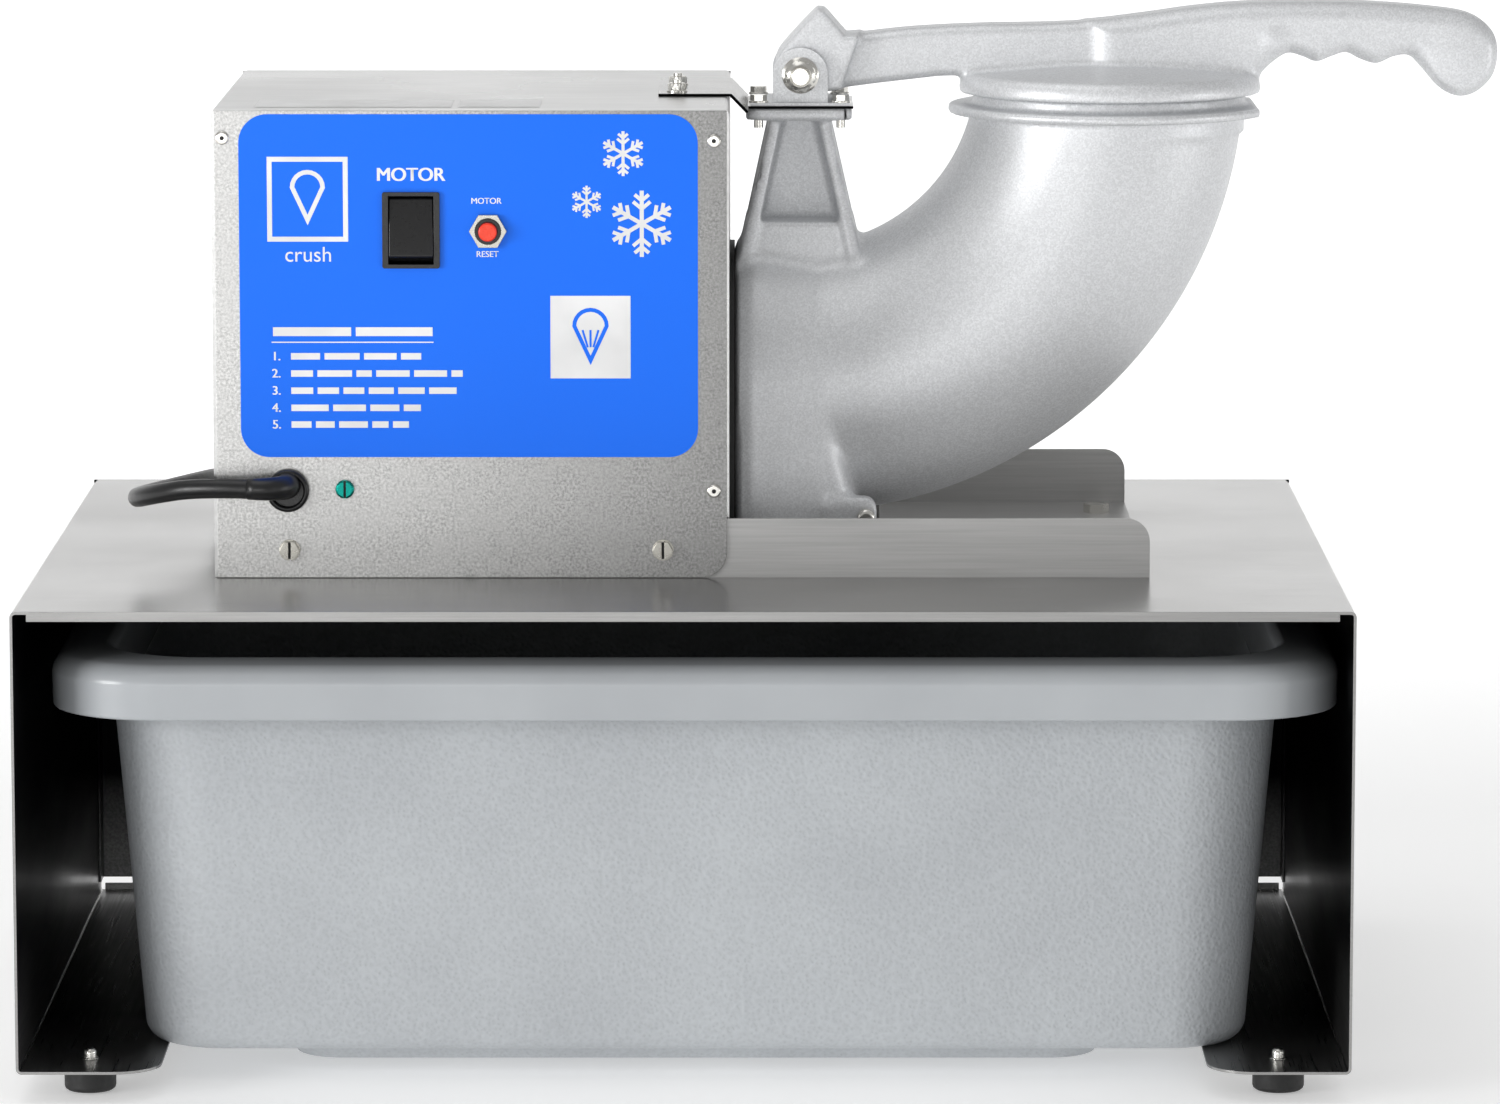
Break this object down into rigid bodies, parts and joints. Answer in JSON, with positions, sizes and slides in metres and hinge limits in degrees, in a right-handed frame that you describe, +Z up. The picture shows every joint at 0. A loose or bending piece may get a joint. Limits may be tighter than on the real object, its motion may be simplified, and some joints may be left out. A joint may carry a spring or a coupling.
{
  "type": "shaved ice machine",
  "caption": "Countertop ice shaver: steel cabinet with slide-out tub, boxed motor and switch, cast curved hopper, and a hinged lid lever that presses the ice on a blade disc.",
  "frame": {"origin": "centre of the four feet, at table level", "axes": "+X to the machine's right seen from the front, +Y to its back, +Z up"},
  "size_m": [0.637, 0.5808, 0.4486],
  "materials": {
    "stainless": "brushed stainless sheet",
    "wrap_steel": "smooth bright sheet",
    "galvanised": "mottled zinc-coated sheet",
    "cast_alloy": "silver-coated sand casting",
    "zinc_fastener": "zinc-plated",
    "black_rubber": "matt",
    "black_plastic": "satin moulded",
    "cord_black": "satin jacket",
    "label_blue": "satin printed film",
    "reset_red": "gloss",
    "ground_green": "dyed screw",
    "tub_grey": "moulded, fine stipple",
    "bronze": "turned bush",
    "copper_wire": "varnished winding",
    "motor_paint": "black enamel",
    "core_steel": "laminated steel",
    "machined_steel": "turned and ground",
    "blade_steel": "ground stainless",
    "fan_plastic": "moulded",
    "capacitor_can": "moulded can"
  },
  "bodies": {
    "frame": {"cabinet_shell": "stainless", "cabinet_back_panel": "stainless", "rubber_feet": "black_rubber", "foot_screws": "zinc_fastener", "machine_tray": "stainless", "tray_bolts": "zinc_fastener", "motor_case_wrap": "wrap_steel", "front_panel": "galvanised", "rear_panel": "galvanised", "rear_panel_screws": "zinc_fastener", "control_label": "label_blue", "panel_rivets": "zinc_fastener", "panel_screws": "zinc_fastener", "ground_screw": "ground_green", "switch_housing": "black_plastic", "reset_breaker": "black_plastic", "reset_nut": "zinc_fastener", "hopper_casting": "cast_alloy", "head_gasket": "black_rubber", "head_bolts": "zinc_fastener", "hopper_foot": "stainless", "lug_screws": "zinc_fastener", "hinge_strap": "stainless", "hinge_bracket": "cast_alloy", "bracket_screws": "zinc_fastener", "strap_bolts": "zinc_fastener", "strap_nuts": "zinc_fastener", "hinge_bolt": "zinc_fastener", "hinge_nut": "zinc_fastener", "motor_shell": "motor_paint", "motor_stator": "core_steel", "stator_windings": "copper_wire", "motor_front_bell": "cast_alloy", "motor_rear_bell": "cast_alloy", "motor_bearings": "machined_steel", "motor_cradle": "galvanised", "start_capacitor": "capacitor_can", "capacitor_bracket": "galvanised", "shaft_seal": "black_rubber", "cord_bushing": "black_plastic", "cord_run": "cord_black", "cord_coil": "cord_black", "cord_tie": "black_plastic", "power_plug": "black_rubber", "plug_blades": "machined_steel"},
    "lever": {"lever_casting": "cast_alloy", "hinge_bushing": "bronze", "pusher_arm": "cast_alloy", "pusher_plate": "cast_alloy", "pusher_screws": "zinc_fastener"},
    "rotor": {"motor_shaft": "machined_steel", "rotor_core": "core_steel", "cooling_fan": "fan_plastic", "cutter_disc": "cast_alloy", "cutter_blades": "blade_steel", "blade_screws": "zinc_fastener", "disc_nut": "zinc_fastener"},
    "tub": {"ice_tub": "tub_grey"},
    "rocker": {"rocker": "black_plastic"},
    "reset_button": {"reset_button": "reset_red"}
  },
  "joints": [
    {"name": "lid_hinge", "type": "hinge", "parent": "frame", "child": "lever", "pos_m": [0.0498, 0.006, 0.4176], "axis": [0, -1, 0], "range_deg": [0, 100]},
    {"name": "cutter_spin", "type": "hinge", "parent": "frame", "child": "rotor", "pos_m": [0, 0.006, 0.2812], "axis": [1, 0, 0], "continuous": true},
    {"name": "tub_slide", "type": "slide", "parent": "frame", "child": "tub", "axis": [0, -1, 0], "range_m": [0, 0.4]},
    {"name": "switch_rock", "type": "hinge", "parent": "frame", "child": "rocker", "pos_m": [-0.11675, -0.104, 0.3591], "axis": [1, 0, 0], "range_deg": [0, 12], "stiffness_Nm_per_rad": 0.05, "springref_deg": -8.59},
    {"name": "reset_press", "type": "slide", "parent": "frame", "child": "reset_button", "axis": [0, 1, 0], "range_m": [0, 0.0025], "stiffness_N_per_m": 400, "springref_m": -0.001}
  ]
}
